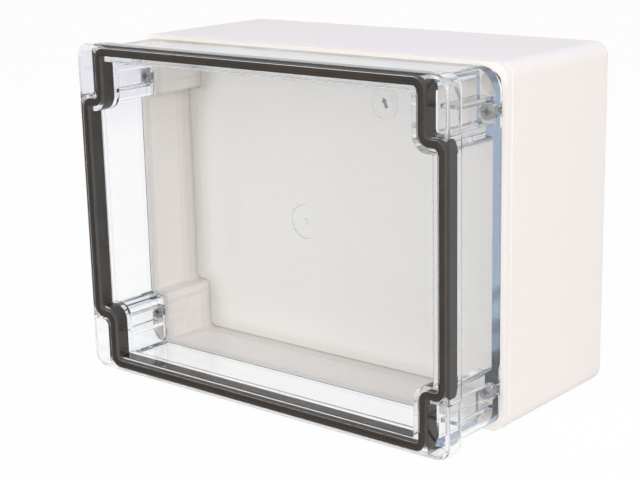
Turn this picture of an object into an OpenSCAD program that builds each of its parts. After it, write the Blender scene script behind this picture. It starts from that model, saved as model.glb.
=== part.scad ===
// Plastic enclosure: a moulded base with a deep clear lid.
// Frame: +X to the right, +Y from the lid towards the back, +Z up, origin under the middle of the box.
// Every module draws in a local frame with y = 0 at the lid's rim and x = z = 0 on the box's axis,
// and in_frame() moves the piece to its place.

/* [Overall] */
// Outer width of the enclosure
body_w = 160; // [130:1:240]
// Outer height of the enclosure
body_h = 120; // [110:1:200]
// Depth of the clear lid
lid_d = 31; // [20:0.5:50]
// Depth of the base
base_d = 64; // [50:0.5:120]
// Radius of the four corners, seen from the front
corner_r = 5; // [5:0.5:6]

/* [Lid shell] */
// Thickness of the clear panel
panel_t = 4; // [3.4:0.1:5]
// Thickness of the lid's side walls
lid_wall = 2.2; // [1.8:0.1:3]
// How far the walls stand in behind the rim
lid_step = 1.2; // [0.6:0.1:1.3]
// Radius of the walls' four corners behind the rim
wall_corner_r = 8; // [4:0.5:9]
// Radius round the outer edge of the panel
panel_edge_r = 0.8; // [0.4:0.1:1.8]
// Depth of the thick rim that holds the seal
rim_d = 7.2; // [6.6:0.1:9]
// Diameter of the shallow dish in the middle of the panel's outer face
dish_d = 12; // [8:0.5:20]
// Depth of that dish
dish_depth = 0.4; // [0.2:0.1:0.8]
// Diameter of the nub left in the dish
dish_nub_d = 2; // [1:0.5:4]

/* [Seal] */
// Wall between the outside of the rim and the seal
seal_margin = 1.4; // [1:0.1:1.8]
// Width of the groove for the gasket
groove_w = 2.4; // [2:0.1:3]
// Depth of the groove
groove_d = 5.4; // [4:0.1:6.2]
// Width of the lip on the inner side of the groove
lip_w = 2; // [1.6:0.1:3.5]
// How far the seal steps in beside a corner column
notch_w = 7.6; // [7:0.1:10]
// How far the seal steps down beside a corner column
notch_h = 18.1; // [17:0.1:24]
// Radius of the seal's outward bends, on its outer edge
seal_bend_r = 4; // [3:0.1:5]
// Radius of the seal's inward bends, on its outer edge
seal_turn_r = 1.5; // [0.5:0.1:3]
// Least radius of the outward bends, as on the inner edge of the lip
lip_corner_r = 0.5; // [0.2:0.1:1.5]
// Space on each side of the gasket in its groove
gasket_gap = 0.05; // [0.02:0.01:0.2]
// Width of the raised bead along the gasket's outer edge
bead_w = 1.1; // [0.6:0.1:1.2]
// How far the bead lies below the rim
bead_sink = 0.2; // [0.1:0.1:0.5]
// How far the rest of the gasket's face lies below the rim
gasket_sink = 1.3; // [0.6:0.1:1.8]

/* [Corner columns] */
// Wall between the groove and the hollow of a column
pocket_wall = 1.2; // [0.8:0.1:1.6]
// Outer wall of a column behind the rim
pocket_side_wall = 1.2; // [0.8:0.1:1.6]
// Thickness of a column's upright wall
column_wall = 2.2; // [1.6:0.1:3]
// Thickness of a column's level wall
column_shelf = 3.7; // [2:0.1:4.5]
// Height of the cell that takes the lid screw
screw_cell_h = 7.2; // [6.6:0.1:9]
// Thickness of the rib between the screw cell and the outer cell
rib_t = 1.3; // [0.8:0.1:2]
// Radius inside the corners of the columns
column_r = 2; // [1:0.5:3]

/* [Base] */
// Thickness of the base's walls
base_wall = 3.5; // [2.5:0.1:5]
// Thickness of the back
base_floor = 3.5; // [2.5:0.1:6]
// Radius round the edges of the back
back_edge_r = 2.4; // [1:0.1:2.4]
// Width of the plain band round the mouth
mouth_band = 3; // [2:0.5:8]
// Width of the fine line behind that band
mouth_line_w = 0.5; // [0.3:0.1:1]
// Depth of the fine line
mouth_line_d = 0.25; // [0.1:0.05:0.5]
// Distance of the wall-fixing holes from the sides
fixing_inset_x = 5.5; // [5.2:0.1:6]
// Distance of the wall-fixing holes from the top and the bottom
fixing_inset_z = 6.4; // [6:0.1:7]
// Diameter of the wall-fixing holes
fixing_d = 4.5; // [3.5:0.1:5]
// Diameter of the channel that takes the head of a wall screw
fixing_head_d = 7; // [6:0.1:7.4]
// Thickness left under the head of a wall screw
fixing_seat_t = 4; // [3:0.5:8]

/* [Lid screws] */
// Diameter of the shank
screw_d = 3; // [2.5:0.1:3.5]
// Space round the shank and the head in the panel
screw_clearance = 0.2; // [0.1:0.05:0.4]
// Diameter of the head
head_d = 5; // [4.4:0.1:5.2]
// Height of the head
head_h = 2.4; // [2:0.1:4]
// How far the head lies in the panel
head_sink = 2; // [0.5:0.1:2.2]
// Chamfer round the top of the head
head_chamfer = 0.5; // [0.2:0.1:0.8]
// Chamfer at the point of the shank
point_chamfer = 0.6; // [0.3:0.1:0.9]
// Length of the slots in the head
recess_l = 2.8; // [2.4:0.1:3.8]
// Width of the slots in the head
recess_w = 0.7; // [0.6:0.1:1.2]
// Depth of the slots in the head
recess_depth = 1.2; // [0.8:0.1:1.6]
// Space under the head when the screw is tight
head_seat_gap = 0.05; // [0.02:0.01:0.1]
// Length of thread held by the insert when the screw is tight
thread_grip = 5; // [3:0.5:6]
// Depth of the wide hole in front of the insert
ring_well_depth = 8; // [7:0.5:12]
// Diameter of that hole
ring_well_d = 6.2; // [5.8:0.1:6.4]
// Outer diameter of the retaining ring
ring_d = 5.4; // [4.6:0.1:5.6]
// Thickness of the retaining ring
ring_t = 0.8; // [0.5:0.1:1.2]
// Opening through which the ring snaps onto the shank
ring_opening = 1.6; // [0.8:0.1:2]
// Depth of the groove in the shank that holds the ring
ring_groove_depth = 0.3; // [0.2:0.05:0.5]
// Running space between the ring and its groove
ring_gap = 0.05; // [0.02:0.01:0.1]
// Space between the ring and the bottom of its well when the screw is tight
ring_foot_gap = 1; // [0.5:0.1:2]
// Outer diameter of the threaded insert
insert_d = 4.6; // [4.2:0.1:5.4]
// Length of the threaded insert
insert_l = 6; // [4:0.5:8]
// Depth of the waist round the insert
insert_waist_depth = 0.25; // [0.1:0.05:0.3]
// Length of that waist
insert_waist_l = 1.5; // [1:0.1:2.5]
// Space between the insert and the shank
insert_bore_gap = 0.05; // [0.02:0.01:0.1]
// Space round the insert in its hole
insert_seat_gap = 0.02; // [0.01:0.01:0.05]

/* [Mounting plate] */
// Thickness of the plate
plate_t = 2; // [1.5:0.1:4]
// Depth of the plate's face behind the mouth of the base
plate_setback = 23; // [12:0.5:30]
// Space between the plate and the walls
plate_gap = 0.6; // [0.5:0.1:3]
// Distance of the pillars from the sides
pillar_inset_x = 28; // [24:1:40]
// Distance of the pillars from the top and the bottom
pillar_inset_z = 32; // [30:1:45]
// Width of a pillar across its flats
pillar_flats = 8; // [7:0.5:12]
// Diameter of the studs at both ends of a pillar
stud_d = 4; // [3:0.1:5]
// Length of those studs
stud_l = 7; // [4:0.5:9]
// Space round a stud in its hole
stud_gap = 0.05; // [0.02:0.01:0.2]
// Diameter of the bosses on the floor of the base
boss_d = 10; // [8:0.5:16]
// Height of the bosses
boss_h = 6; // [3:0.5:10]

/* [Hidden] */
$fn = 48;

// Corner numbers: 1 top right, 2 top left, 3 bottom left, 4 bottom right
CORNERS = [1, 2, 3, 4];
function side_x(corner) = (corner == 1 || corner == 4) ? 1 : -1;
function side_z(corner) = corner <= 2 ? 1 : -1;

// Overlap that makes a cut or a joint definite
eps = 0.01;
// How far a cut runs past the face it opens
past = 1;
total_d = lid_d + base_d;
panel_y = lid_d - panel_t;

// Edges of the seal, measured from the box's axis
seal_w = body_w - 2 * seal_margin;
seal_h = body_h - 2 * seal_margin;
pocket_x = seal_w / 2 - notch_w + pocket_wall;
pocket_z = seal_h / 2 - notch_h + pocket_wall;
column_x = pocket_x - column_wall;
column_z = pocket_z - column_shelf;
rib_z = pocket_z + screw_cell_h;

// The lid screw stands in the middle of its cell, where the cell meets the panel
screw_x = (pocket_x + body_w / 2 - lid_step - pocket_side_wall) / 2;
screw_z = pocket_z + screw_cell_h / 2;
insert_y = lid_d + ring_well_depth;
screw_end_y = insert_y + thread_grip;
ring_y = insert_y - ring_foot_gap - ring_t;
groove_r = screw_d / 2 - ring_groove_depth;

fixing_x = body_w / 2 - fixing_inset_x;
fixing_z = body_h / 2 - fixing_inset_z;

// Depths inside the base
floor_y = total_d - base_floor;
plate_y = lid_d + plate_setback;
boss_y = floor_y - boss_h;
pillar_x = body_w / 2 - pillar_inset_x;
pillar_z = body_h / 2 - pillar_inset_z;

clear_plastic = [0.86, 0.89, 0.93, 0.35];
box_plastic = [0.93, 0.91, 0.88];
plate_grey = [0.86, 0.85, 0.84];
seal_rubber = [0.2, 0.18, 0.17];
screw_nylon = [0.62, 0.62, 0.63];
ring_steel = [0.45, 0.45, 0.47];
insert_brass = [0.76, 0.62, 0.36];
pillar_nickel = [0.72, 0.72, 0.72];

// Moves a piece from the local frame to its place
module in_frame() {
    translate([0, -total_d / 2, body_h / 2]) children();
}

// Extrudes an outline drawn in x and z, from depth y0 towards the back
module along_y(y0, length) {
    translate([0, y0 + length, 0]) rotate([90, 0, 0]) linear_extrude(length) children();
}

// Puts a solid of revolution, drawn upwards, on a line towards the back
module on_y_axis(x, y, z) {
    translate([x, y, z]) rotate([-90, 0, 0]) children();
}

module rounded_rect(w, h, r) {
    square([w - 2 * r, h], center = true);
    square([w, h - 2 * r], center = true);
    for (sx = [-1, 1], sz = [-1, 1])
        translate([sx * (w / 2 - r), sz * (h / 2 - r)]) circle(r);
}

// A rectangle with its four corners cut back by nw and nh
module notched_rect(w, h, nw, nh, bend_r, turn_r) {
    rounded_rect(w - 2 * nw, h, bend_r);
    rounded_rect(w, h - 2 * nh, bend_r);
    for (mx = [0, 1], mz = [0, 1])
        mirror([mx, 0]) mirror([0, mz])
            translate([w / 2 - nw, h / 2 - nh]) difference() {
                translate([-eps, -eps]) square(turn_r + eps);
                translate([turn_r, turn_r]) circle(turn_r);
            }
}

// The seal's outline, moved inwards by a distance
module seal_outline(inwards) {
    notched_rect(
        seal_w - 2 * inwards, seal_h - 2 * inwards, notch_w, notch_h,
        max(lip_corner_r, seal_bend_r - inwards), seal_turn_r + inwards
    );
}

// Outline of a box seen from a side: square at the front, rounded at the far end
module far_rounded(span, depth, edge_r) {
    straight = depth - edge_r;
    translate([-span / 2, 0]) square([span, straight]);
    translate([-span / 2 + edge_r, 0]) square([span - 2 * edge_r, depth]);
    for (s = [-1, 1])
        translate([s * (span / 2 - edge_r), straight]) circle(edge_r);
}

// A box with round corners: two crossing blocks and four turned corners, with the far edge rounded
module rounded_box(w, h, depth, r, edge_r) {
    across = w - 2 * r;
    upright = h - 2 * r;
    translate([0, 0, -upright / 2]) linear_extrude(upright) far_rounded(w, depth, edge_r);
    translate([-across / 2, 0, 0]) rotate([90, 0, 90]) linear_extrude(across) rotate(90) mirror([0, 1])
        far_rounded(h, depth, edge_r);
    for (sx = [-1, 1], sz = [-1, 1])
        on_y_axis(sx * across / 2, 0, sz * upright / 2) rotate_extrude() intersection() {
            far_rounded(2 * r, depth, edge_r);
            square([r, depth]);
        }
}

// A rounded outline, drawn in from the lid's rim by a distance
module rim_outline(inwards) {
    rounded_rect(body_w - 2 * inwards, body_h - 2 * inwards, corner_r - inwards);
}

// The outline of the lid's walls behind the rim, drawn in by a distance
module wall_outline(inwards) {
    inset = lid_step + inwards;
    rounded_rect(body_w - 2 * inset, body_h - 2 * inset, wall_corner_r - inwards);
}

// The lid's outside: a thick rim, then walls that stand in a little, with a rounded panel edge
module lid_outside() {
    along_y(0, rim_d) rim_outline(0);
    rounded_box(body_w - 2 * lid_step, body_h - 2 * lid_step, lid_d, wall_corner_r, panel_edge_r);
}

// The hollow of the four columns, from their inner walls outwards
module pocket_outline() {
    reach = max(body_w, body_h);
    for (mx = [0, 1], mz = [0, 1])
        mirror([mx, 0]) mirror([0, mz]) translate([pocket_x, pocket_z]) {
            translate([column_r, 0]) square([reach, reach]);
            translate([0, column_r]) square([reach, reach]);
            translate([column_r, column_r]) circle(column_r);
        }
}

// The rib across each column's hollow
module rib_outline() {
    for (sz = [-1, 1])
        translate([0, sz * (rib_z + rib_t / 2)]) square([body_w, rib_t], center = true);
}

module lid_hollows() {
    wall_x = body_w / 2 - lid_step - lid_wall;
    wall_z = body_h / 2 - lid_step - lid_wall;
    // Main space behind the rim
    along_y(rim_d, panel_y - rim_d)
        notched_rect(2 * wall_x, 2 * wall_z, wall_x - column_x, wall_z - column_z, column_r, column_r);
    // Opening inside the lip
    along_y(-past, rim_d + past + eps) seal_outline(groove_w + lip_w);
    // Groove for the gasket
    along_y(-past, groove_d + past) difference() {
        seal_outline(0);
        seal_outline(groove_w);
    }
    // Hollow columns: one long mouth at the rim, two cells behind it
    along_y(-past, rim_d + past) intersection() {
        rim_outline(seal_margin);
        pocket_outline();
    }
    along_y(rim_d - eps, panel_y - rim_d + eps) difference() {
        intersection() {
            wall_outline(pocket_side_wall);
            pocket_outline();
        }
        rib_outline();
    }
    // Holes for the lid screws, with a seat for each head
    for (corner = CORNERS)
        on_y_axis(side_x(corner) * screw_x, panel_y - past, side_z(corner) * screw_z) {
            cylinder(h = panel_t + 2 * past, d = screw_d + 2 * screw_clearance);
            cylinder(h = past + head_sink, d = head_d + 2 * screw_clearance);
        }
    // Shallow dish with its nub
    on_y_axis(0, lid_d - dish_depth, 0) difference() {
        cylinder(h = dish_depth + past, d = dish_d);
        translate([0, 0, -past]) cylinder(h = dish_depth + 3 * past, d = dish_nub_d);
    }
}

module lid() {
    color(clear_plastic) in_frame() difference() {
        lid_outside();
        lid_hollows();
    }
}

// A strip along the seal's outline, between two distances from its outer edge
module seal_strip(y0, from, to) {
    along_y(y0, groove_d - y0) difference() {
        seal_outline(from);
        seal_outline(to);
    }
}

// The rubber in the groove, with a bead along its outer edge
module gasket() {
    color(seal_rubber) in_frame() {
        seal_strip(gasket_sink, gasket_gap, groove_w - gasket_gap);
        seal_strip(bead_sink, gasket_gap, gasket_gap + bead_w);
    }
}

// The base's shell, open at the mouth, with solid columns at the corners
module base_shell() {
    difference() {
        translate([0, lid_d, 0]) rounded_box(body_w, body_h, base_d, corner_r, back_edge_r);
        along_y(lid_d - past, base_d - base_floor + past)
            notched_rect(
                body_w - 2 * base_wall, body_h - 2 * base_wall,
                body_w / 2 - base_wall - column_x, body_h / 2 - base_wall - column_z,
                column_r, column_r
            );
        // Fine line round the mouth
        along_y(lid_d + mouth_band, mouth_line_w) difference() {
            square([body_w + past, body_h + past], center = true);
            rim_outline(mouth_line_d);
        }
    }
}

// Wall-fixing channel, ring well and insert hole of one corner
module base_corner_holes(sx, sz) {
    on_y_axis(sx * fixing_x, lid_d - past, sz * fixing_z) {
        cylinder(h = base_d + 2 * past, d = fixing_d);
        cylinder(h = base_d - fixing_seat_t + past, d = fixing_head_d);
    }
    on_y_axis(sx * screw_x, lid_d - past, sz * screw_z) {
        cylinder(h = ring_well_depth + past, d = ring_well_d);
        cylinder(h = ring_well_depth + insert_l + past, d = insert_d + 2 * insert_seat_gap);
        cylinder(
            h = ring_well_depth + max(insert_l, thread_grip) + 2 * past,
            d = screw_d + 2 * screw_clearance
        );
    }
}

module base() {
    color(box_plastic) in_frame() difference() {
        union() {
            base_shell();
            for (corner = CORNERS)
                on_y_axis(side_x(corner) * pillar_x, boss_y, side_z(corner) * pillar_z)
                    cylinder(h = boss_h + eps, d = boss_d);
        }
        for (corner = CORNERS) {
            base_corner_holes(side_x(corner), side_z(corner));
            // Hole in a floor boss for the stud at a pillar's foot
            on_y_axis(side_x(corner) * pillar_x, boss_y - past, side_z(corner) * pillar_z)
                cylinder(h = stud_l + stud_gap + past, d = stud_d + 2 * stud_gap);
        }
    }
}

module mounting_plate() {
    color(plate_grey) in_frame()
        along_y(plate_y, plate_t)
            notched_rect(
                body_w - 2 * (base_wall + plate_gap), body_h - 2 * (base_wall + plate_gap),
                body_w / 2 - base_wall - column_x, body_h / 2 - base_wall - column_z,
                column_r, column_r + plate_gap
            );
}

// Studs that stand on the back of the plate
module plate_studs() {
    color(pillar_nickel) in_frame()
        for (corner = CORNERS)
            on_y_axis(side_x(corner) * pillar_x, plate_y + plate_t, side_z(corner) * pillar_z)
                cylinder(h = stud_l, d = stud_d);
}

// A hexagon pillar between a floor boss and the plate, with a stud at its foot
module pillar(corner) {
    top_y = plate_y + plate_t;
    length = boss_y - top_y;
    color(pillar_nickel) in_frame()
        on_y_axis(side_x(corner) * pillar_x, top_y, side_z(corner) * pillar_z) difference() {
            union() {
                cylinder(h = length, d = pillar_flats / cos(30), $fn = 6);
                translate([0, 0, length - eps]) cylinder(h = stud_l + eps, d = stud_d);
            }
            translate([0, 0, -past]) cylinder(h = stud_l + past + stud_gap, d = stud_d + 2 * stud_gap);
        }
}

// A brass sleeve with two grips and a waist
module threaded_insert(corner) {
    grip_r = insert_d / 2;
    waist_r = grip_r - insert_waist_depth;
    grip_l = (insert_l - insert_waist_l) / 2;
    bore_r = screw_d / 2 + insert_bore_gap;
    color(insert_brass) in_frame()
        on_y_axis(side_x(corner) * screw_x, insert_y, side_z(corner) * screw_z)
            rotate_extrude() {
                translate([bore_r, 0]) square([waist_r - bore_r, insert_l]);
                for (start = [0, insert_l - grip_l])
                    translate([bore_r, start]) square([grip_r - bore_r, grip_l]);
            }
}

// A flat open ring that runs in the shank's groove
module retaining_ring(corner) {
    color(ring_steel) in_frame()
        on_y_axis(side_x(corner) * screw_x, ring_y, side_z(corner) * screw_z) difference() {
            rotate_extrude() translate([groove_r + ring_gap, 0])
                square([ring_d / 2 - groove_r - ring_gap, ring_t]);
            translate([0, -ring_opening / 2, -past]) cube([ring_d, ring_opening, ring_t + 2 * past]);
        }
}

// Half section of a lid screw, from its head to its point
module screw_section(head_y) {
    shank_r = screw_d / 2;
    head_r = head_d / 2;
    polygon([
        [0, head_y], [head_r - head_chamfer, head_y], [head_r, head_y + head_chamfer],
        [head_r, head_y + head_h], [shank_r, head_y + head_h],
        [shank_r, ring_y - ring_gap], [groove_r, ring_y - ring_gap],
        [groove_r, ring_y + ring_t + ring_gap], [shank_r, ring_y + ring_t + ring_gap],
        [shank_r, screw_end_y - point_chamfer], [shank_r - point_chamfer, screw_end_y], [0, screw_end_y],
    ]);
}

module lid_screw(corner) {
    head_y = panel_y + head_sink - head_seat_gap - head_h;
    color(screw_nylon) in_frame()
        on_y_axis(side_x(corner) * screw_x, 0, side_z(corner) * screw_z) difference() {
            rotate_extrude() screw_section(head_y);
            for (turn = [0, 90])
                rotate(turn) translate([0, 0, head_y]) cube(
                    [recess_l, recess_w, 2 * recess_depth], center = true
                );
        }
}

base();
mounting_plate();
plate_studs();
for (corner = CORNERS) {
    pillar(corner);
    threaded_insert(corner);
    retaining_ring(corner);
    lid_screw(corner);
}
lid();
gasket();
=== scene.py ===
"""Dresses a plastic enclosure: an off-white moulded base under a deep clear lid.

The lid's rim holds a stepped rubber seal, its hollow corner columns hold captive screws, and a light-grey
mounting plate stands inside the base. Every size is in metres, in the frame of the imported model: +X to the
right, +Y from the lid towards the back, +Z up.
"""

import logging
import math
from collections.abc import Callable
from dataclasses import dataclass, field
from enum import Enum

import bmesh
import bpy
from mathutils import Matrix, Vector


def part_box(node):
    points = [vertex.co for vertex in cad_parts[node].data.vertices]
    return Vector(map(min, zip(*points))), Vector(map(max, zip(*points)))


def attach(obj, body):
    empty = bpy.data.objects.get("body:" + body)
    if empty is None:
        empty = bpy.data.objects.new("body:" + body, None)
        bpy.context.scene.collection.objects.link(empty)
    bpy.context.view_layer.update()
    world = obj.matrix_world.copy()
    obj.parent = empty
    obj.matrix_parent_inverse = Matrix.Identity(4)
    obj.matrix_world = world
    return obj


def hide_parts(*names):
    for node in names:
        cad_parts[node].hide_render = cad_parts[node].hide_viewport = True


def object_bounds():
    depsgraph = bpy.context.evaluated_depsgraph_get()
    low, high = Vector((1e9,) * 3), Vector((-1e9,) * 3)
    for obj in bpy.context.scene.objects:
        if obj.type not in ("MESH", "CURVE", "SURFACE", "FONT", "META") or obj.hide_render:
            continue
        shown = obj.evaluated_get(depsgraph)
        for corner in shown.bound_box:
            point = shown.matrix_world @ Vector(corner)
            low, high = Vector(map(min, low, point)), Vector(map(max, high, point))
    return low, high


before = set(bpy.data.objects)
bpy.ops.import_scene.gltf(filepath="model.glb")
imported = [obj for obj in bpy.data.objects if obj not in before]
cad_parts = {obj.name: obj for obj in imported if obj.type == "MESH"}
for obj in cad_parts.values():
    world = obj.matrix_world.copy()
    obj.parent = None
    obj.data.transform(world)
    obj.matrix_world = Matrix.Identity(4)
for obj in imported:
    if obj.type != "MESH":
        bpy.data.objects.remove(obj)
CAD_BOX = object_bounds()
LOG = logging.getLogger("enclosure")

MM = 0.001
FULL_TURN = 2 * math.pi
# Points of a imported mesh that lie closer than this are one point
MERGE_DISTANCE = 0.002 * MM
# Neighbouring facets that turn by less than this are one flat face
FLAT_ANGLE = math.radians(0.4)
# Edges that turn by more than this are real edges of a moulding
EDGE_ANGLE = math.radians(42)
# Edges that turn by more than this stay crisp in the shading
CRISP_ANGLE = math.radians(52)
# The profile of a bevel that is part of a circle
ROUND_PROFILE = 0.5
# How strongly large faces steer the shading beside them, up to 100
FACE_WEIGHT = 80
# Faces whose normal leans along y by less than this are walls
WALL_LEAN = 0.5
# Nearly all values of a noise pattern lie in this range
NOISE_RANGE = (0.3, 0.7)
# A Light Path value below this is a no, or a count of none
NONE_LIMIT = 0.5
# At this strength a shown colour comes out as it is written
SHOWN_STRENGTH = 1.0

Colour = tuple[float, float, float]
Socket = bpy.types.NodeSocket
WHITE: Colour = (1.0, 1.0, 1.0)


class Slot(Enum):
    """The record's material slots."""

    BOX = "box_plastic"
    PLATE = "plate_laminate"
    CLEAR = "clear_polycarbonate"
    RUBBER = "seal_rubber"
    SCREW = "screw_nylon"
    RING = "ring_steel"
    INSERT = "insert_brass"
    NICKEL = "nickel_steel"


class Mark(Enum):
    """The moulder's marks, which have finishes of their own."""

    RING = "faint_mark"
    POINTER = "dark_mark"


class Corner(Enum):
    """The four corners, numbered as the nodes and the bodies are."""

    TOP_RIGHT = 1
    TOP_LEFT = 2
    BOTTOM_LEFT = 3
    BOTTOM_RIGHT = 4

    def named(self, kind: str) -> str:
        """Gives the name of this corner's node or body of a kind."""
        return f"{kind}_{self.value}"


class ShaderGraph:
    """The node tree of a material or of the world, with short ways to add and join nodes."""

    def __init__(self, owner: bpy.types.Material | bpy.types.World, output: str) -> None:
        """Starts an empty tree.

        Args:
            owner: The material or the world.
            output: Blender's name for its kind of output node.
        """
        owner.use_nodes = True
        self.owner = owner
        self.tree = owner.node_tree
        self.tree.nodes.clear()
        self.output = self.add(output)

    @classmethod
    def of_material(cls, name: str) -> "ShaderGraph":
        """Starts a new material's tree."""
        return cls(bpy.data.materials.new(name), "ShaderNodeOutputMaterial")

    @classmethod
    def of_world(cls, name: str) -> "ShaderGraph":
        """Starts a new world's tree."""
        return cls(bpy.data.worlds.new(name), "ShaderNodeOutputWorld")

    def add(self, kind: str, **settings: object) -> bpy.types.Node:
        """Adds a node.

        Args:
            kind: Blender's name for the kind of node.
            **settings: Properties of the node to set.

        Returns:
            The new node.
        """
        node = self.tree.nodes.new(kind)
        for name, value in settings.items():
            setattr(node, name, value)
        return node

    def join(self, source: Socket, target: Socket) -> None:
        """Links an output to an input."""
        self.tree.links.new(source, target)

    def show(self, surface: Socket) -> None:
        """Links a shader's output to the tree's surface."""
        self.join(surface, self.output.inputs["Surface"])

    def axes(self, coordinates: str) -> bpy.types.Node:
        """Adds the place of a point, split into its three axes.

        Args:
            coordinates: Blender's name for the kind of coordinates.

        Returns:
            The node with the outputs X, Y and Z.
        """
        where = self.add("ShaderNodeTexCoord")
        split = self.add("ShaderNodeSeparateXYZ")
        self.join(where.outputs[coordinates], split.inputs["Vector"])
        return split

    def noise(self, grain: float, detail: float) -> Socket:
        """Adds a noise pattern on the piece's own coordinates.

        Args:
            grain: The size of the pattern's patches, in metres.
            detail: How many finer layers the pattern has.

        Returns:
            The pattern's output.
        """
        where = self.add("ShaderNodeTexCoord")
        pattern = self.add("ShaderNodeTexNoise")
        pattern.inputs["Scale"].default_value = 1 / grain
        pattern.inputs["Detail"].default_value = detail
        self.join(where.outputs["Object"], pattern.inputs["Vector"])
        return pattern.outputs["Fac"]

    def blend(self, factor: Socket, first: Colour | Socket, second: Colour | Socket) -> Socket:
        """Mixes two colours by a pattern.

        Args:
            factor: The pattern's output.
            first: The colour where the pattern is low, or its output.
            second: The colour where the pattern is high, or its output.

        Returns:
            The mixed colour's output.
        """
        mix = self.add("ShaderNodeMix", data_type="RGBA")
        self.join(factor, mix.inputs["Factor"])
        for name, colour in (("A", first), ("B", second)):
            if isinstance(colour, tuple):
                mix.inputs[name].default_value = (*colour, 1.0)
            else:
                self.join(colour, mix.inputs[name])
        return mix.outputs["Result"]

    def choose(self, factor: Socket, first: Socket, second: Socket) -> Socket:
        """Mixes two shaders.

        Args:
            factor: The second shader's share.
            first: The first shader's output.
            second: The second shader's output.

        Returns:
            The mixed shader's output.
        """
        mix = self.add("ShaderNodeMixShader")
        self.join(factor, mix.inputs["Fac"])
        self.join(first, mix.inputs[1])
        self.join(second, mix.inputs[2])
        return mix.outputs["Shader"]

    def spread(
        self, value: Socket, source: tuple[float, float], target: tuple[float, float] = (0.0, 1.0)
    ) -> Socket:
        """Carries a value from one range to another, and stops at its ends.

        Args:
            value: The value's output.
            source: The range to read, which may run downwards.
            target: The range to give.

        Returns:
            The output with the new values.
        """
        carried = self.add("ShaderNodeMapRange")
        carried.inputs["From Min"].default_value = source[0]
        carried.inputs["From Max"].default_value = source[1]
        carried.inputs["To Min"].default_value = target[0]
        carried.inputs["To Max"].default_value = target[1]
        self.join(value, carried.inputs["Value"])
        return carried.outputs["Result"]

    def relief(self, height: Socket, depth: float, strength: float) -> Socket:
        """Adds a bump of a real depth.

        Args:
            height: The pattern that gives the height.
            depth: The relief's depth, in metres.
            strength: How much of it shows, from 0 to 1.

        Returns:
            The bumped normal's output.
        """
        bump = self.add("ShaderNodeBump")
        bump.inputs["Distance"].default_value = depth
        bump.inputs["Strength"].default_value = strength
        self.join(height, bump.inputs["Height"])
        return bump.outputs["Normal"]

    def opaque(
        self, tone: Socket, grain: Socket, roughness: tuple[float, float], depth: float, strength: float
    ) -> bpy.types.Node:
        """Makes the tree's surface an opaque one, whose gloss and relief follow one grain.

        Args:
            tone: The colour's output.
            grain: The grain's output.
            roughness: The roughness where the grain is low, and where it is high.
            depth: The depth of the grain's relief, in metres.
            strength: How much of the relief shows, from 0 to 1.

        Returns:
            The surface's shader node.
        """
        shader = self.add("ShaderNodeBsdfPrincipled")
        self.join(tone, shader.inputs["Base Color"])
        self.join(self.spread(grain, NOISE_RANGE, roughness), shader.inputs["Roughness"])
        self.join(self.relief(grain, depth, strength), shader.inputs["Normal"])
        self.show(shader.outputs["BSDF"])
        return shader

    def sum_up(self, operation: str, first: Socket, second: Socket | float) -> Socket:
        """Adds a calculation.

        Args:
            operation: Blender's name for it.
            first: The first value's output.
            second: The second value's output, or a number.

        Returns:
            The result's output.
        """
        step = self.add("ShaderNodeMath", operation=operation)
        self.join(first, step.inputs[0])
        if isinstance(second, float):
            step.inputs[1].default_value = second
        else:
            self.join(second, step.inputs[1])
        return step.outputs["Value"]

    def past_camera(self) -> Socket:
        """Adds a value that is 0 for what the camera sees directly, and 1 for all other light."""
        path = self.add("ShaderNodeLightPath")
        return self.sum_up("LESS_THAN", path.outputs["Is Camera Ray"], NONE_LIMIT)

    def looked_at(self) -> Socket:
        """Adds a value that tells what the camera looks at from light that lands on a matt surface.

        The camera looks at a thing directly, in a mirror or through a clear piece.

        Returns:
            The output, which is 1 for what is looked at and 0 for other light.
        """
        path = self.add("ShaderNodeLightPath")
        mirrored = self.sum_up("MAXIMUM", path.outputs["Is Camera Ray"], path.outputs["Is Glossy Ray"])
        seen = self.sum_up("MAXIMUM", mirrored, path.outputs["Is Transmission Ray"])
        unscattered = self.sum_up("LESS_THAN", path.outputs["Diffuse Depth"], NONE_LIMIT)
        return self.sum_up("MULTIPLY", seen, unscattered)


@dataclass(frozen=True)
class MouldedPlastic:
    """Opaque moulded plastic with clouds in its colour and a fine spark-eroded grain."""

    name: str
    colour: Colour
    shade: Colour
    roughness: tuple[float, float]
    cloud: float = 26 * MM
    cloud_detail: float = 3.0
    grain: float = 0.35 * MM
    grain_detail: float = 2.0
    grain_depth: float = 0.03 * MM
    grain_strength: float = 0.5

    def build(self) -> bpy.types.Material:
        """Makes the material.

        Returns:
            The material.
        """
        graph = ShaderGraph.of_material(self.name)
        cloud = graph.noise(self.cloud, self.cloud_detail)
        grain = graph.noise(self.grain, self.grain_detail)
        tone = graph.blend(cloud, self.colour, self.shade)
        graph.opaque(tone, grain, self.roughness, self.grain_depth, self.grain_strength)
        return graph.owner


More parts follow.
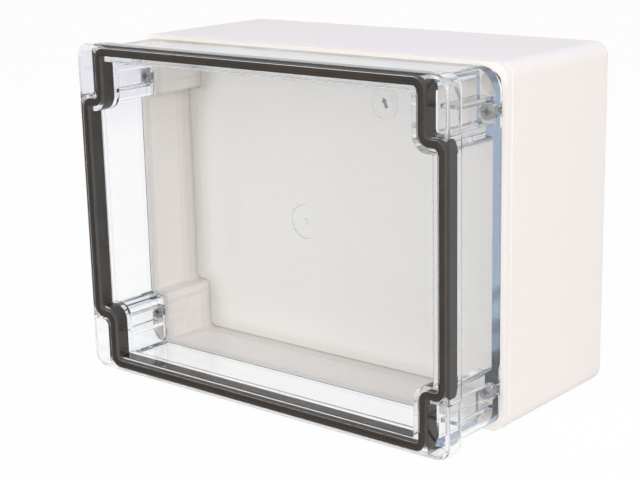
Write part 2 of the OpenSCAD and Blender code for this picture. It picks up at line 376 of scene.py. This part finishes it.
@dataclass(frozen=True)
class ClearPlastic:
    """Clear polycarbonate that bends light, turns blue along its edges and has faint moulding ripples."""

    name: str
    index: float = 1.585
    roughness: float = 0.045
    passed: Colour = (0.97, 0.98, 0.985)
    absorbed: Colour = (0.53, 0.645, 0.77)
    density: float = 12.0
    ripple: float = 14 * MM
    ripple_detail: float = 1.0
    ripple_depth: float = 0.004 * MM
    ripple_strength: float = 0.6

    def build(self) -> bpy.types.Material:
        """Makes the material: glass that lets the light of lamps through, with a faint blue volume.

        Returns:
            The material.
        """
        graph = ShaderGraph.of_material(self.name)
        glass = graph.add("ShaderNodeBsdfPrincipled")
        glass.inputs["Base Color"].default_value = (*WHITE, 1.0)
        glass.inputs["Transmission Weight"].default_value = 1.0
        glass.inputs["IOR"].default_value = self.index
        glass.inputs["Roughness"].default_value = self.roughness
        ripple = graph.noise(self.ripple, self.ripple_detail)
        graph.join(graph.relief(ripple, self.ripple_depth, self.ripple_strength), glass.inputs["Normal"])
        for_lamps = graph.add("ShaderNodeBsdfTransparent")
        for_lamps.inputs["Color"].default_value = (*self.passed, 1.0)
        shadow = graph.add("ShaderNodeLightPath").outputs["Is Shadow Ray"]
        graph.show(graph.choose(shadow, glass.outputs["BSDF"], for_lamps.outputs["BSDF"]))
        volume = graph.add("ShaderNodeVolumeAbsorption")
        volume.inputs["Color"].default_value = (*self.absorbed, 1.0)
        volume.inputs["Density"].default_value = self.density
        graph.join(volume.outputs["Volume"], graph.output.inputs["Volume"])
        return graph.owner


@dataclass(frozen=True)
class SealRubber:
    """Matt rubber, brown-black, with a fine speckle and a dusty bloom."""

    name: str
    colour: Colour = (0.022, 0.0175, 0.014)
    bloom: Colour = (0.045, 0.037, 0.029)
    sheen: float = 0.25
    roughness: tuple[float, float] = (0.5, 0.72)
    wave: float = 9 * MM
    wave_detail: float = 3.0
    speckle: float = 0.4 * MM
    speckle_detail: float = 2.0
    speckle_depth: float = 0.05 * MM
    speckle_strength: float = 0.4

    def build(self) -> bpy.types.Material:
        """Makes the material.

        Returns:
            The material.
        """
        graph = ShaderGraph.of_material(self.name)
        wave = graph.noise(self.wave, self.wave_detail)
        speckle = graph.noise(self.speckle, self.speckle_detail)
        tone = graph.blend(wave, self.colour, self.bloom)
        shader = graph.opaque(tone, speckle, self.roughness, self.speckle_depth, self.speckle_strength)
        shader.inputs["Specular IOR Level"].default_value = self.sheen
        return graph.owner


@dataclass(frozen=True)
class TurnedMetal:
    """Bare or plated metal with fine tool marks and faint stains."""

    name: str
    colour: Colour
    worn: Colour
    roughness: tuple[float, float]
    stain: float = 1.6 * MM
    stain_detail: float = 2.0
    marks: float = 0.12 * MM
    marks_detail: float = 4.0
    marks_depth: float = 0.006 * MM
    marks_strength: float = 0.4

    def build(self) -> bpy.types.Material:
        """Makes the material.

        Returns:
            The material.
        """
        graph = ShaderGraph.of_material(self.name)
        stain = graph.noise(self.stain, self.stain_detail)
        marks = graph.noise(self.marks, self.marks_detail)
        tone = graph.blend(stain, self.colour, self.worn)
        shader = graph.opaque(tone, marks, self.roughness, self.marks_depth, self.marks_strength)
        shader.inputs["Metallic"].default_value = 1.0
        return graph.owner


Finish = MouldedPlastic | ClearPlastic | SealRubber | TurnedMetal


class Finishes:
    """Every finish of the enclosure, made once."""

    def __init__(self) -> None:
        """Makes the materials by slot and by mark."""
        recipes: dict[Slot | Mark, Finish] = {
            Slot.BOX: MouldedPlastic(
                "off_white_plastic",
                colour=(0.85, 0.8, 0.74),
                shade=(0.87, 0.818, 0.757),
                roughness=(0.42, 0.56),
            ),
            Slot.PLATE: MouldedPlastic(
                "grey_laminate",
                colour=(0.85, 0.825, 0.785),
                shade=(0.87, 0.845, 0.805),
                roughness=(0.38, 0.5),
                grain=0.8 * MM,
            ),
            Slot.CLEAR: ClearPlastic("clear_plastic"),
            Slot.RUBBER: SealRubber("seal_rubber"),
            Slot.SCREW: MouldedPlastic(
                "grey_nylon",
                colour=(0.24, 0.24, 0.25),
                shade=(0.28, 0.28, 0.29),
                roughness=(0.36, 0.5),
                cloud=3 * MM,
                grain=0.2 * MM,
            ),
            Slot.RING: TurnedMetal(
                "spring_steel", colour=(0.4, 0.4, 0.42), worn=(0.3, 0.3, 0.32), roughness=(0.28, 0.42)
            ),
            Slot.INSERT: TurnedMetal(
                "plain_brass", colour=(0.78, 0.6, 0.3), worn=(0.66, 0.48, 0.22), roughness=(0.22, 0.36)
            ),
            Slot.NICKEL: TurnedMetal(
                "nickel_plate", colour=(0.68, 0.67, 0.64), worn=(0.6, 0.59, 0.56), roughness=(0.2, 0.34)
            ),
            Mark.RING: MouldedPlastic(
                Mark.RING.value,
                colour=(0.14, 0.14, 0.16),
                shade=WHITE,
                roughness=(0.4, 0.6),
                cloud=1.5 * MM,
                grain=0.1 * MM,
            ),
            Mark.POINTER: MouldedPlastic(
                Mark.POINTER.value,
                colour=(0.16, 0.15, 0.17),
                shade=(0.3, 0.29, 0.31),
                roughness=(0.4, 0.6),
                cloud=0.8 * MM,
                grain=0.1 * MM,
            ),
        }
        self.made = {use: recipe.build() for use, recipe in recipes.items()}

    def of(self, use: Slot | Mark) -> bpy.types.Material:
        """Gives the material of a slot or of a mark."""
        return self.made[use]


def whole_copy(node: str) -> bmesh.types.BMesh:
    """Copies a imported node, with its loose triangles merged and its flat faces made whole.

    Args:
        node: The node's name.

    Returns:
        A closed mesh of the node's shape.
    """
    bm = bmesh.new()
    bm.from_mesh(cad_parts[node].data)
    bmesh.ops.remove_doubles(bm, verts=bm.verts, dist=MERGE_DISTANCE)
    bmesh.ops.dissolve_limit(bm, angle_limit=FLAT_ANGLE, verts=bm.verts, edges=bm.edges)
    return bm


def round_off(bm: bmesh.types.BMesh, edges: list[bmesh.types.BMEdge], width: float, segments: int) -> None:
    """Rounds some edges.

    Args:
        bm: The mesh, changed in place.
        edges: The edges to round.
        width: How far the rounding reaches from each edge.
        segments: How many steps it has.
    """
    bmesh.ops.bevel(
        bm,
        geom=edges,
        offset=width,
        segments=segments,
        profile=ROUND_PROFILE,
        affect="EDGES",
        material=-1,
        clamp_overlap=False,
    )
    bmesh.ops.remove_doubles(bm, verts=bm.verts, dist=MERGE_DISTANCE)


def soften(
    bm: bmesh.types.BMesh, width: float, segments: int, front: float = -math.inf, back: float = math.inf
) -> None:
    """Rounds every real edge of a moulding that lies in a range of depths.

    Args:
        bm: The mesh, changed in place.
        width: How far the rounding reaches from each edge.
        segments: How many steps it has.
        front: The least depth of an edge's middle, along y.
        back: The greatest depth of an edge's middle.
    """
    edges = []
    for edge in bm.edges:
        depth = (edge.verts[0].co.y + edge.verts[1].co.y) / 2
        if front < depth <= back and edge.is_manifold and edge.calc_face_angle() > EDGE_ANGLE:
            edges.append(edge)
    round_off(bm, edges, width, segments)


def finish_piece(
    name: str, bm: bmesh.types.BMesh, material: bpy.types.Material, body: str, slot: Slot, *nodes: str
) -> None:
    """Makes a piece of a mesh and sets it on its body.

    Args:
        name: The piece's name.
        bm: Its mesh, which is freed.
        material: Its finish.
        body: The body that it moves with.
        slot: The record's slot that the finish belongs to; not used.
        *nodes: The nodes that it stands for.
    """
    mesh = bpy.data.meshes.new(name)
    bm.to_mesh(mesh)
    bm.free()
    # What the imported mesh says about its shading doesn't suit the rounded edges
    for left_over in ("custom_normal", "sharp_face", "sharp_edge"):
        if left_over in mesh.attributes:
            mesh.attributes.remove(mesh.attributes[left_over])
    mesh.shade_smooth()
    mesh.set_sharp_from_angle(angle=CRISP_ANGLE)
    mesh.materials.clear()
    mesh.materials.append(material)
    piece = bpy.data.objects.new(name, mesh)
    bpy.context.scene.collection.objects.link(piece)
    even = piece.modifiers.new("even_faces", "WEIGHTED_NORMAL")
    even.keep_sharp = True
    even.weight = FACE_WEIGHT
    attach(piece, body)
    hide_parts(*nodes)
    LOG.info("%s: %d faces on body %s", name, len(mesh.polygons), body)


@dataclass
class BaseBox:
    """The moulded base with its plate, pillars and inserts."""

    finishes: Finishes
    edge: float = 0.3 * MM
    mouth_edge: float = 0.08 * MM
    mouth_depth: float = 4.5 * MM
    plate_edge: float = 0.2 * MM
    plate_reach: float = 0.4 * MM
    metal_edge: float = 0.12 * MM
    edge_steps: int = 2

    def moulding(self) -> None:
        """Builds the off-white box, its edges rounded as a mould leaves them, and finer at its mouth."""
        bm = whole_copy("base")
        low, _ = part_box("base")
        behind_mouth = low.y + self.mouth_depth
        soften(bm, self.edge, self.edge_steps, front=behind_mouth)
        soften(bm, self.mouth_edge, self.edge_steps, back=behind_mouth)
        finish_piece("base_moulding", bm, self.finishes.of(Slot.BOX), "base", Slot.BOX, "base")

    def plate(self) -> None:
        """Builds the mounting plate, which reaches close to the walls."""
        bm = whole_copy("mounting_plate")
        bm.normal_update()
        moves = {v: Vector((v.normal.x, 0, v.normal.z)).normalized() for v in bm.verts}
        for vert, move in moves.items():
            vert.co += move * self.plate_reach
        soften(bm, self.plate_edge, self.edge_steps)
        finish_piece("plate_sheet", bm, self.finishes.of(Slot.PLATE), "base", Slot.PLATE, "mounting_plate")

    def hardware(self) -> None:
        """Builds the studs, the pillars and the inserts, with broken edges."""
        parts = [("plate_studs", Slot.NICKEL)]
        parts += [(corner.named("pillar"), Slot.NICKEL) for corner in Corner]
        parts += [(corner.named("threaded_insert"), Slot.INSERT) for corner in Corner]
        for node, slot in parts:
            bm = whole_copy(node)
            soften(bm, self.metal_edge, self.edge_steps)
            finish_piece(f"{node}_turned", bm, self.finishes.of(slot), "base", slot, node)

    def build(self) -> None:
        """Builds everything on the base."""
        self.moulding()
        self.plate()
        self.hardware()


@dataclass
class ClearLid:
    """The clear lid, the seal in its rim and the moulder's marks on its panel.

    Three fields are shares: dish_share of the solid's dish, tick_share of the date ring's radius, and
    pointer_neck of the pointer's length.
    """

    finishes: Finishes
    edge: float = 0.28 * MM
    edge_steps: int = 3
    seat_gap: float = 0.04 * MM
    lip_round: float = 0.2 * MM
    lip_steps: int = 3
    rim_round: float = 0.8 * MM
    rim_steps: int = 5
    bead_step: float = 2.0 * MM
    bead_round: float = 0.25 * MM
    bead_steps: int = 4
    seal_rise: float = 0.8 * MM
    seal_bond: float = 0.08 * MM
    dish_reach: float = 7 * MM
    dish_depth: float = 0.6 * MM
    dish_share: float = 0.3
    panel_face: float = 27 * MM
    date_place: Vector = field(default_factory=lambda: Vector((0.0365, 0, 0.1047)))
    date_radius: float = 5.2 * MM
    date_steps: int = 64
    months: int = 12
    tick_length: float = 0.7 * MM
    tick_share: float = 0.8
    mark_line: float = 0.16 * MM
    mark_height: float = 0.06 * MM
    pointer_length: float = 3.6 * MM
    pointer_width: float = 2.4 * MM
    pointer_neck: float = 0.1
    pointer_turn: float = math.radians(-24)

    def rim_loop(self, bm: bmesh.types.BMesh, first: Callable[[Vector], float]) -> list[bmesh.types.BMEdge]:
        """Finds one closed edge at the front of the rim.

        Args:
            bm: The shell's mesh.
            first: Gives a number for a point; the loop starts at the edge whose middle has the least.

        Returns:
            The loop's edges.
        """
        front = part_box("lid")[0].y + MERGE_DISTANCE
        rim = set()
        for edge in bm.edges:
            walls = [f for f in edge.link_faces if abs(f.normal.y) < WALL_LEAN]
            if walls and all(v.co.y < front for v in edge.verts):
                rim.add(edge)
        waiting = [min(rim, key=lambda e: first((e.verts[0].co + e.verts[1].co) / 2))]
        loop = set()
        while waiting:
            edge = waiting.pop()
            loop.add(edge)
            beside = {e for v in edge.verts for e in v.link_edges}
            waiting += (beside & rim) - loop
        return list(loop)

    def moulding(self) -> None:
        """Builds the clear shell, with a shallow gate dish and its back a hair off the base's face."""
        bm = whole_copy("lid")
        low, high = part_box("lid")
        middle = (low + high) / 2
        back = [v for v in bm.verts if v.co.y > high.y - self.seat_gap]
        bmesh.ops.translate(bm, verts=back, vec=(0, -self.seat_gap, 0))
        bm.normal_update()
        # The lip's edge is the innermost one, and the rim's own edge reaches furthest to the right
        round_off(bm, self.rim_loop(bm, lambda p: (p - middle).xz.length), self.lip_round, self.lip_steps)
        round_off(bm, self.rim_loop(bm, lambda p: -p.x), self.rim_round, self.rim_steps)
        soften(bm, self.edge, self.edge_steps)
        face = high.y - self.seat_gap
        for vert in bm.verts:
            vert.co.y = max(vert.co.y, low.y)
            if vert.co.y > face - self.dish_depth and (vert.co - middle).xz.length < self.dish_reach:
                vert.co.y = face - (face - vert.co.y) * self.dish_share
        finish_piece("lid_shell", bm, self.finishes.of(Slot.CLEAR), "lid", Slot.CLEAR, "lid")

    def seal(self) -> None:
        """Builds the rubber strip, foamed against the walls of its groove and up its low side."""
        bm = whole_copy("gasket")
        low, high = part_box("gasket")
        bm.normal_update()
        # The strip swells to the sides and the back, and its front stays where it is
        moves = {v: v.normal * v.calc_shell_factor() * self.seal_bond for v in bm.verts}
        for vert, move in moves.items():
            if vert.co.y < (low.y + high.y) / 2:
                move.y = 0.0
            vert.co += move
        # The edges of the bead's top are picked before the low side rises towards them
        bead = []
        for edge in bm.edges:
            depths = [v.co.y - low.y for f in edge.link_faces for v in f.verts]
            if max(v.co.y for v in edge.verts) - low.y < MERGE_DISTANCE and max(depths) < self.bead_step:
                bead.append(edge)
        for vert in bm.verts:
            if MERGE_DISTANCE < vert.co.y - low.y < self.bead_step:
                vert.co.y -= self.seal_rise
        round_off(bm, bead, self.bead_round, self.bead_steps)
        finish_piece("seal_strip", bm, self.finishes.of(Slot.RUBBER), "lid", Slot.RUBBER, "gasket")

    def mark(self, name: str, bm: bmesh.types.BMesh, kind: Mark) -> None:
        """Sets a flat mark on the lid's panel, in the place of the date ring.

        Args:
            name: The piece's name.
            bm: The mark's mesh, drawn round the origin in x and z, its back at y = 0.
            kind: The mark's finish.
        """
        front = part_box("lid")[0].y
        bmesh.ops.translate(bm, verts=bm.verts, vec=self.date_place)
        bmesh.ops.translate(bm, verts=bm.verts, vec=(0, front + self.panel_face, 0))
        bmesh.ops.recalc_face_normals(bm, faces=bm.faces)
        finish_piece(name, bm, self.finishes.of(kind), "lid", Slot.CLEAR)

    def date_ring(self) -> None:
        """Builds the moulder's date ring on the panel: a fine ring with a tick for each month."""
        bm = bmesh.new()
        half = self.mark_line / 2
        outline = [
            bm.verts.new((self.date_radius - half, 0, 0)),
            bm.verts.new((self.date_radius + half, 0, 0)),
            bm.verts.new((self.date_radius + half, -self.mark_height, 0)),
            bm.verts.new((self.date_radius - half, -self.mark_height, 0)),
        ]
        section = bm.faces.new(outline)
        bmesh.ops.spin(
            bm,
            geom=outline + list(section.edges) + [section],
            cent=(0, 0, 0),
            axis=(0, 1, 0),
            angle=FULL_TURN,
            steps=self.date_steps,
            use_merge=True,
        )
        for month in range(self.months):
            tick = bmesh.ops.create_cube(bm, size=1.0)["verts"]
            bmesh.ops.scale(bm, verts=tick, vec=(self.tick_length, self.mark_height, self.mark_line))
            place = (self.date_radius * self.tick_share, -self.mark_height / 2, 0)
            bmesh.ops.translate(bm, verts=tick, vec=place)
            turn = Matrix.Rotation(FULL_TURN * month / self.months, 3, "Y")
            bmesh.ops.rotate(bm, verts=tick, cent=(0, 0, 0), matrix=turn)
        bmesh.ops.remove_doubles(bm, verts=bm.verts, dist=MERGE_DISTANCE)
        self.mark("date_ring", bm, Mark.RING)

    def date_pointer(self) -> None:
        """Builds the pointer in the middle of the date ring."""
        bm = bmesh.new()
        end = self.pointer_length / 2
        neck = self.pointer_length * self.pointer_neck
        side = self.pointer_width / 2
        stem = self.pointer_width / 4
        outline = [
            (-stem, -end),
            (stem, -end),
            (stem, neck),
            (side, neck),
            (0, end),
            (-side, neck),
            (-stem, neck),
        ]
        face = bm.faces.new([bm.verts.new((x, 0, z)) for x, z in outline])
        raised = bmesh.ops.extrude_face_region(bm, geom=[face])["geom"]
        points = [v for v in raised if isinstance(v, bmesh.types.BMVert)]
        bmesh.ops.translate(bm, verts=points, vec=(0, -self.mark_height, 0))
        turn = Matrix.Rotation(self.pointer_turn, 3, "Y")
        bmesh.ops.rotate(bm, verts=bm.verts, cent=(0, 0, 0), matrix=turn)
        self.mark("date_pointer", bm, Mark.POINTER)

    def build(self) -> None:
        """Builds the shell, the seal and the moulder's marks."""
        self.moulding()
        self.seal()
        self.date_ring()
        self.date_pointer()


@dataclass
class CaptiveScrews:
    """The lid screws with their retaining rings, one pair at each corner.

    Some fields aren't lengths: thread_half is a share of the pitch, thread_root of the core's radius and
    slot_taper of the cross's size. slot_split parts the inner from the outer points of a grid of size 1.
    """

    finishes: Finishes
    head_height: float = 2.4 * MM
    head_chamfer: float = 0.5 * MM
    shank_radius: float = 1.5 * MM
    core_radius: float = 1.24 * MM
    groove_radius: float = 1.2 * MM
    groove_gap: float = 0.05 * MM
    point: float = 0.6 * MM
    pitch: float = 0.5 * MM
    thread_half: float = 0.45
    thread_root: float = 0.96
    thread_steps: int = 24
    slot_width: float = 0.7 * MM
    slot_length: float = 2.8 * MM
    slot_depth: float = 1.2 * MM
    slot_taper: float = 0.82
    slot_cells: int = 3
    slot_split: float = 0.5
    edge: float = 0.1 * MM
    edge_steps: int = 2
    steps: int = 48

    def turned_body(
        self, bm: bmesh.types.BMesh, head_radius: float, ring: tuple[float, float], end: float
    ) -> None:
        """Turns the screw's outline round its axis, from the flat of the head to the point.

        Args:
            bm: The mesh to add to, with the head's top at y = 0.
            head_radius: Radius of the head.
            ring: Where the retaining ring starts and ends, along y.
            end: Where the point is, along y.
        """
        outline = [
            (head_radius - self.head_chamfer, 0.0),
            (head_radius, self.head_chamfer),
            (head_radius, self.head_height),
            (self.shank_radius, self.head_height),
            (self.shank_radius, ring[0] - self.groove_gap),
            (self.groove_radius, ring[0] - self.groove_gap),
            (self.groove_radius, ring[1] + self.groove_gap),
            (self.core_radius, ring[1] + self.groove_gap),
            (self.core_radius, end - self.point),
            (self.core_radius - self.point, end),
            (0.0, end),
        ]
        points = [bm.verts.new((radius, y, 0.0)) for radius, y in outline]
        lines = [bm.edges.new(pair) for pair in zip(points, points[1:])]
        bmesh.ops.spin(
            bm,
            geom=points + lines,
            cent=(0, 0, 0),
            axis=(0, 1, 0),
            angle=FULL_TURN,
            steps=self.steps,
            use_merge=True,
        )
        bmesh.ops.remove_doubles(bm, verts=bm.verts, dist=MERGE_DISTANCE)

    def cross_slot(self, bm: bmesh.types.BMesh) -> None:
        """Sinks a cross into the head and closes the flat round it.

        Args:
            bm: The turned body, open at the top of its head.
        """
        rim = [e for e in bm.edges if e.is_boundary]
        before = set(bm.faces)
        bmesh.ops.create_grid(bm, x_segments=self.slot_cells, y_segments=self.slot_cells, size=1.0)
        cells = [f for f in bm.faces if f not in before]
        arm = self.slot_length / 2
        half = self.slot_width / 2
        # The grid's inner points go to the sides of the arms, its outer ones to their ends
        for vert in {v for f in cells for v in f.verts}:
            across = vert.co.x
            along = vert.co.y
            vert.co.x = math.copysign(arm if abs(across) > self.slot_split else half, across)
            vert.co.z = math.copysign(arm if abs(along) > self.slot_split else half, along)
            vert.co.y = 0.0
        corners = [f for f in cells if min(abs(c) for c in f.calc_center_median().xz) > half]
        bmesh.ops.delete(bm, geom=corners, context="FACES")
        cross = [f for f in cells if f.is_valid]
        lip = [e for f in cross for e in f.edges if e.is_boundary]
        sunk = bmesh.ops.extrude_face_region(bm, geom=cross)["geom"]
        floor = [v for v in sunk if isinstance(v, bmesh.types.BMVert)]
        bmesh.ops.translate(bm, verts=floor, vec=(0, self.slot_depth, 0))
        bmesh.ops.scale(bm, verts=floor, vec=(self.slot_taper, 1, self.slot_taper))
        bmesh.ops.delete(bm, geom=[f for f in cross if f.is_valid], context="FACES_ONLY")
        bmesh.ops.bridge_loops(bm, edges=rim + lip)

    def thread(self, bm: bmesh.types.BMesh, start: float, end: float) -> None:
        """Winds a thread round the shank.

        Args:
            bm: The mesh to add to.
            start: Where the thread starts, along y.
            end: Where it ends.
        """
        half = self.pitch * self.thread_half
        root = self.core_radius * self.thread_root
        corners = [(root, start - half), (self.shank_radius, start), (root, start + half)]
        points = [bm.verts.new((radius, y, 0.0)) for radius, y in corners]
        face = bm.faces.new(points)
        turns = (end - start) / self.pitch
        bmesh.ops.spin(
            bm,
            geom=points + list(face.edges) + [face],
            cent=(0, 0, 0),
            axis=(0, 1, 0),
            dvec=(0, self.pitch / self.thread_steps, 0),
            angle=FULL_TURN * turns,
            steps=round(turns * self.thread_steps),
        )

    def screw(self, corner: Corner) -> None:
        """Builds one lid screw in its place.

        Args:
            corner: The screw's corner.
        """
        node = corner.named("lid_screw")
        low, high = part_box(node)
        ring_low, ring_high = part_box(corner.named("retaining_ring"))
        centre = (low + high) / 2
        ring = (ring_low.y - low.y, ring_high.y - low.y)
        length = high.y - low.y
        bm = bmesh.new()
        self.turned_body(bm, (high.x - low.x) / 2, ring, length)
        self.cross_slot(bm)
        bmesh.ops.recalc_face_normals(bm, faces=bm.faces)
        soften(bm, self.edge, self.edge_steps)
        self.thread(bm, ring[1] + self.pitch, length - self.point - self.pitch / 2)
        bmesh.ops.recalc_face_normals(bm, faces=bm.faces)
        bmesh.ops.translate(bm, verts=bm.verts, vec=(centre.x, low.y, centre.z))
        finish = self.finishes.of(Slot.SCREW)
        finish_piece(f"{node}_turned", bm, finish, corner.named("screw"), Slot.SCREW, node)

    def ring(self, corner: Corner) -> None:
        """Builds one retaining ring.

        Args:
            corner: The ring's corner.
        """
        node = corner.named("retaining_ring")
        bm = whole_copy(node)
        soften(bm, self.edge, self.edge_steps)
        finish = self.finishes.of(Slot.RING)
        finish_piece(f"{node}_sprung", bm, finish, corner.named("ring"), Slot.RING, node)

    def build(self) -> None:
        """Builds the screws and the rings of all corners."""
        for corner in Corner:
            self.screw(corner)
            self.ring(corner)


@dataclass(frozen=True)
class SoftBox:
    """A square lamp that gives soft light and isn't seen itself."""

    name: str
    place: tuple[float, float, float]
    size: float
    power: float
    colour: Colour

    def hang(self, target: Vector) -> None:
        """Hangs the lamp in its place.

        Args:
            target: The point that it looks at.
        """
        light = bpy.data.lights.new(self.name, "AREA")
        light.shape = "SQUARE"
        light.size = self.size
        light.energy = self.power
        light.color = self.colour
        lamp = bpy.data.objects.new(self.name, light)
        lamp.location = self.place
        lamp.rotation_mode = "QUATERNION"
        lamp.rotation_quaternion = (target - Vector(self.place)).to_track_quat("-Z", "Y")
        lamp.visible_camera = False
        lamp.visible_transmission = False
        lamp.visible_glossy = False
        bpy.context.scene.collection.objects.link(lamp)


@dataclass
class Studio:
    """A pale floor, soft light and the camera.

    The floor's painted shades, which mirrors and clear pieces show, start and end at places along x. The
    ceiling and the dark left side start and end at the z and the x of a direction of length 1. The photo's
    width and focal length are in pixels, and the sensor is in millimetres.
    """

    photo_width: float = 640.0
    photo_focal: float = 1479.94
    sensor: float = 36.0
    near_clip: float = 0.01
    azimuth: float = math.radians(39.9011)
    elevation: float = math.radians(14.3916)
    roll: float = math.radians(-1.3053)
    distance: float = 0.518106
    target: Vector = field(default_factory=lambda: Vector((0.0004343, -0.0115, 0.0519565)))
    floor_size: float = 8.0
    floor_colour: Colour = (0.9, 0.9, 0.9)
    floor_glow: float = 0.96
    # Painted shade on the floor's glow, seen only past the camera: grey towards the right, lilac-grey
    # towards the left
    right_shade_span: tuple[float, float] = (0.085, 0.12)
    right_painted_shade: Colour = (0.8, 0.785, 0.785)
    left_shade_span: tuple[float, float] = (-0.42, -0.6)
    left_painted_shade: Colour = (0.84, 0.825, 0.9)
    sky_light: float = 0.42
    sky_colour: Colour = (1.0, 0.99, 0.98)
    ceiling_colour: Colour = (0.5, 0.55, 0.6)
    ceiling_height: tuple[float, float] = (0.35, 0.9)
    left_side: tuple[float, float] = (-0.72, -0.92)
    lamps: tuple[SoftBox, ...] = (
        SoftBox("key_soft_box", (1.25, -1.35, 0.6), size=1.1, power=22.3, colour=(1.0, 0.985, 0.965)),
        SoftBox("front_soft_box", (-0.45, -1.75, 0.55), size=0.9, power=12.8, colour=(1.0, 0.98, 0.955)),
        SoftBox("top_soft_box", (0.18, -0.1, 0.85), size=0.6, power=3.1, colour=(0.65, 0.69, 1.0)),
    )
    bounces: int = 96

    def camera(self) -> None:
        """Sets the camera where the photograph was taken from."""
        lens = bpy.data.cameras.new("photo_camera")
        lens.sensor_width = self.sensor
        lens.lens = self.photo_focal * self.sensor / self.photo_width
        lens.clip_start = self.near_clip
        back = Vector((
            math.sin(self.azimuth) * math.cos(self.elevation),
            -math.cos(self.azimuth) * math.cos(self.elevation),
            math.sin(self.elevation),
        ))
        across = Vector((0, 0, 1)).cross(back).normalized()
        upward = back.cross(across)
        right = across * math.cos(self.roll) + upward * math.sin(self.roll)
        up = upward * math.cos(self.roll) - across * math.sin(self.roll)
        turn = Matrix((right, up, back)).transposed()
        seat = bpy.data.objects.new("photo_camera", lens)
        seat.matrix_world = Matrix.Translation(self.target + back * self.distance) @ turn.to_4x4()
        bpy.context.scene.collection.objects.link(seat)
        bpy.context.scene.camera = seat

    def floor_finish(self) -> bpy.types.Material:
        """Makes the floor's material: white to look at, and matt for the light that falls on it.

        What mirrors and clear pieces show of it has painted shade: a grey tint towards the right and a
        lilac-grey tint towards the left.

        Returns:
            The material.
        """
        graph = ShaderGraph.of_material("white_floor")
        matt = graph.add("ShaderNodeBsdfDiffuse")
        matt.inputs["Color"].default_value = (*self.floor_colour, 1.0)
        glow = graph.add("ShaderNodeEmission")
        glow.inputs["Strength"].default_value = SHOWN_STRENGTH
        across = graph.axes("Object").outputs["X"]
        past_camera = graph.past_camera()
        # Painted shade: past the camera the glow turns grey to the right and lilac-grey to the left
        left = graph.sum_up("MULTIPLY", graph.spread(across, self.left_shade_span), past_camera)
        right = graph.sum_up("MULTIPLY", graph.spread(across, self.right_shade_span), past_camera)
        tone = graph.blend(right, graph.blend(left, WHITE, self.left_painted_shade), self.right_painted_shade)
        graph.join(tone, glow.inputs["Color"])
        share = graph.sum_up("MULTIPLY", graph.looked_at(), self.floor_glow)
        graph.show(graph.choose(share, matt.outputs["BSDF"], glow.outputs["Emission"]))
        return graph.owner

    def floor(self) -> None:
        """Lays a white floor that keeps a soft shadow."""
        bm = bmesh.new()
        bmesh.ops.create_grid(bm, x_segments=1, y_segments=1, size=self.floor_size / 2)
        mesh = bpy.data.meshes.new("floor")
        bm.to_mesh(mesh)
        bm.free()
        mesh.materials.append(self.floor_finish())
        floor = bpy.data.objects.new("floor", mesh)
        floor.location.z = CAD_BOX[0].z
        floor.visible_glossy = False
        bpy.context.scene.collection.objects.link(floor)

    def sky(self) -> None:
        """Surrounds the scene with white, with a darker ceiling and left side that clear edges mirror."""
        graph = ShaderGraph.of_world("studio")
        light = graph.add("ShaderNodeBackground")
        light.inputs["Color"].default_value = (*self.sky_colour, 1.0)
        light.inputs["Strength"].default_value = self.sky_light
        shown = graph.add("ShaderNodeBackground")
        shown.inputs["Strength"].default_value = SHOWN_STRENGTH
        way = graph.axes("Generated")
        height = graph.spread(way.outputs["Z"], self.ceiling_height)
        side = graph.spread(way.outputs["X"], self.left_side)
        path = graph.add("ShaderNodeLightPath")
        ceiling = graph.sum_up("MULTIPLY", height, graph.past_camera())
        left = graph.sum_up("MULTIPLY", side, path.outputs["Is Glossy Ray"])
        dark = graph.sum_up("MAXIMUM", ceiling, left)
        graph.join(graph.blend(dark, WHITE, self.ceiling_colour), shown.inputs["Color"])
        backgrounds = (light.outputs["Background"], shown.outputs["Background"])
        graph.show(graph.choose(graph.looked_at(), *backgrounds))
        bpy.context.scene.world = graph.owner

    def light_paths(self) -> None:
        """Lets light run along inside the clear plastic, where it is reflected many times."""
        paths = bpy.context.scene.cycles
        paths.max_bounces = self.bounces
        paths.glossy_bounces = self.bounces
        paths.transmission_bounces = self.bounces

    def build(self) -> None:
        """Sets up the camera, the floor and the light."""
        self.camera()
        self.floor()
        self.sky()
        for lamp in self.lamps:
            lamp.hang(self.target)
        self.light_paths()
        bpy.context.scene.view_settings.view_transform = "Standard"


def main() -> None:
    """Builds the studio and every sub-assembly in order."""
    logging.basicConfig(level=logging.INFO, format="%(name)s: %(message)s")
    Studio().build()
    finishes = Finishes()
    BaseBox(finishes).build()
    ClearLid(finishes).build()
    CaptiveScrews(finishes).build()


if __name__ == "__main__":
    main()
